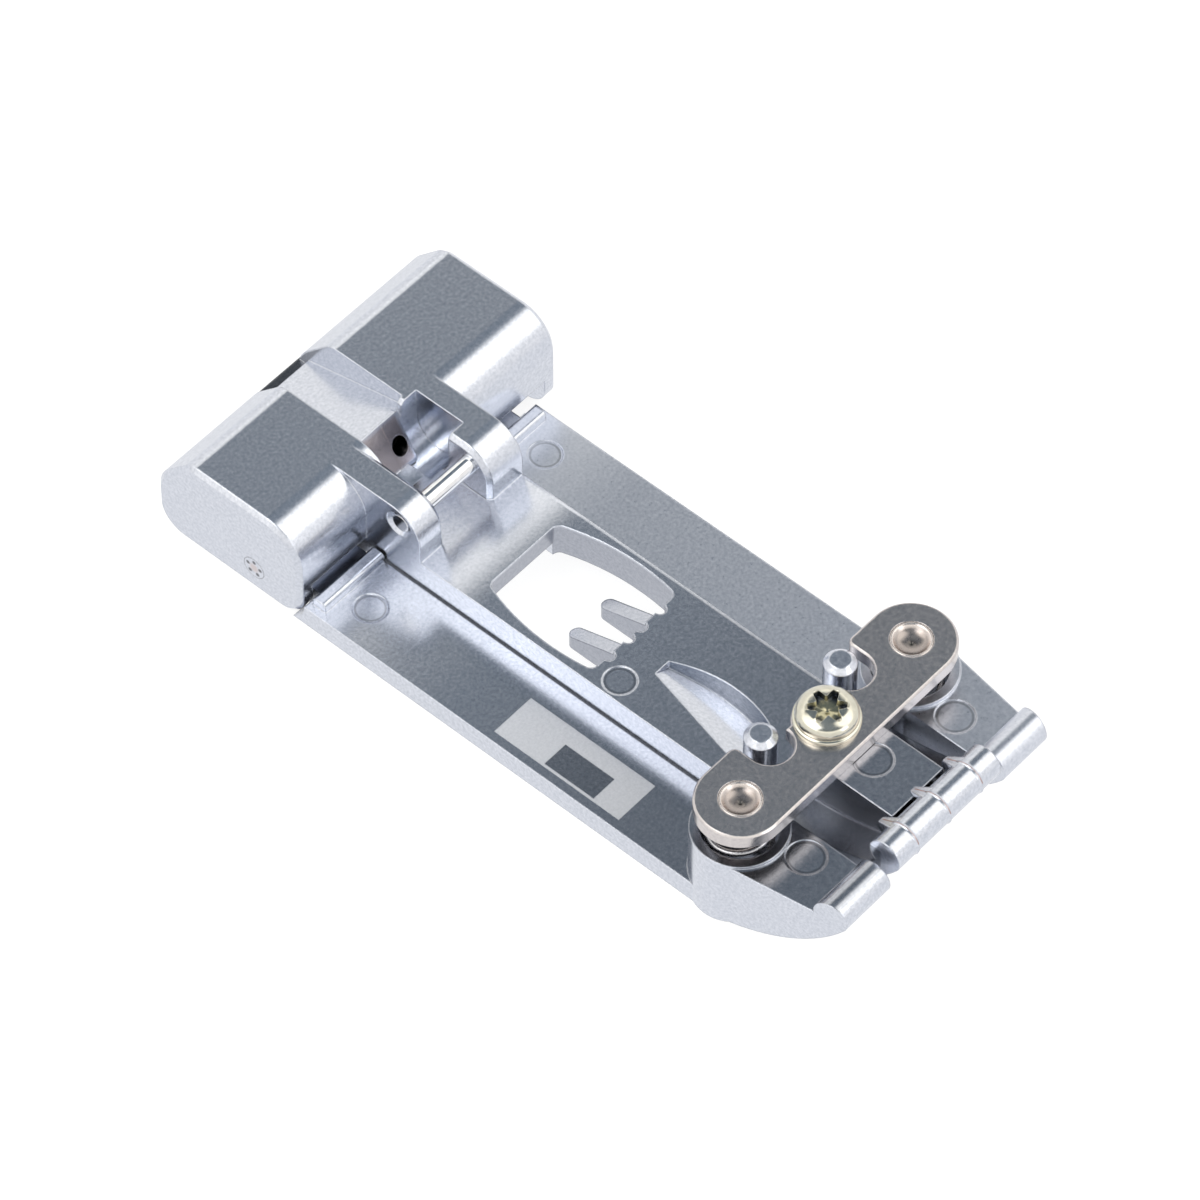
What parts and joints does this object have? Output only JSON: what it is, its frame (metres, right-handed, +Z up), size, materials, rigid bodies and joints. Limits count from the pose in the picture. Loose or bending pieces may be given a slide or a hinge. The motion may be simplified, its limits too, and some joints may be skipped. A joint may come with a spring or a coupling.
{
  "type": "sewing machine presser foot",
  "caption": "Clip-on coverstitch presser foot with a fingered needle opening, separately sprung side soles under a cross bar and rolled toes with needle marks.",
  "frame": {"origin": "sole plane, straight under the middle needle in the needle opening", "axes": "+Z up off the sole plane, -Y towards the toe, +Y towards the heel, +X to the right as seen from the heel looking at the toe"},
  "size_m": [0.0227, 0.0519, 0.0093],
  "materials": {
    "plated_casting": "bright nickel plate over zinc",
    "pin_steel": "polished steel",
    "bar_steel": "dark nickel plate with bright edges",
    "screw_zinc": "pale yellow zinc plate",
    "spring_steel": "drawn spring wire"
  },
  "bodies": {
    "foot": {"centre_body": "plated_casting", "left_hinge_pin": "pin_steel", "right_hinge_pin": "pin_steel", "ankle_pin": "pin_steel", "bridge_bar": "bar_steel", "bar_screw": "screw_zinc", "left_stud": "pin_steel", "right_stud": "pin_steel", "left_spring": "spring_steel", "right_spring": "spring_steel"},
    "left_side": {"left_sole": "plated_casting"},
    "right_side": {"right_sole": "plated_casting"}
  },
  "joints": [
    {"name": "left_sole_hinge", "type": "hinge", "parent": "foot", "child": "left_side", "pos_m": [-0.0068, 0.01536, 0.00193], "axis": [-1, 0, 0], "range_deg": [0, 2.3], "stiffness_Nm_per_rad": 0.7, "springref_deg": -2.86, "deforming": ["left_spring"]},
    {"name": "right_sole_hinge", "type": "hinge", "parent": "foot", "child": "right_side", "pos_m": [0.0068, 0.01536, 0.00193], "axis": [-1, 0, 0], "range_deg": [0, 2.3], "stiffness_Nm_per_rad": 0.7, "springref_deg": -2.86, "deforming": ["right_spring"]}
  ]
}
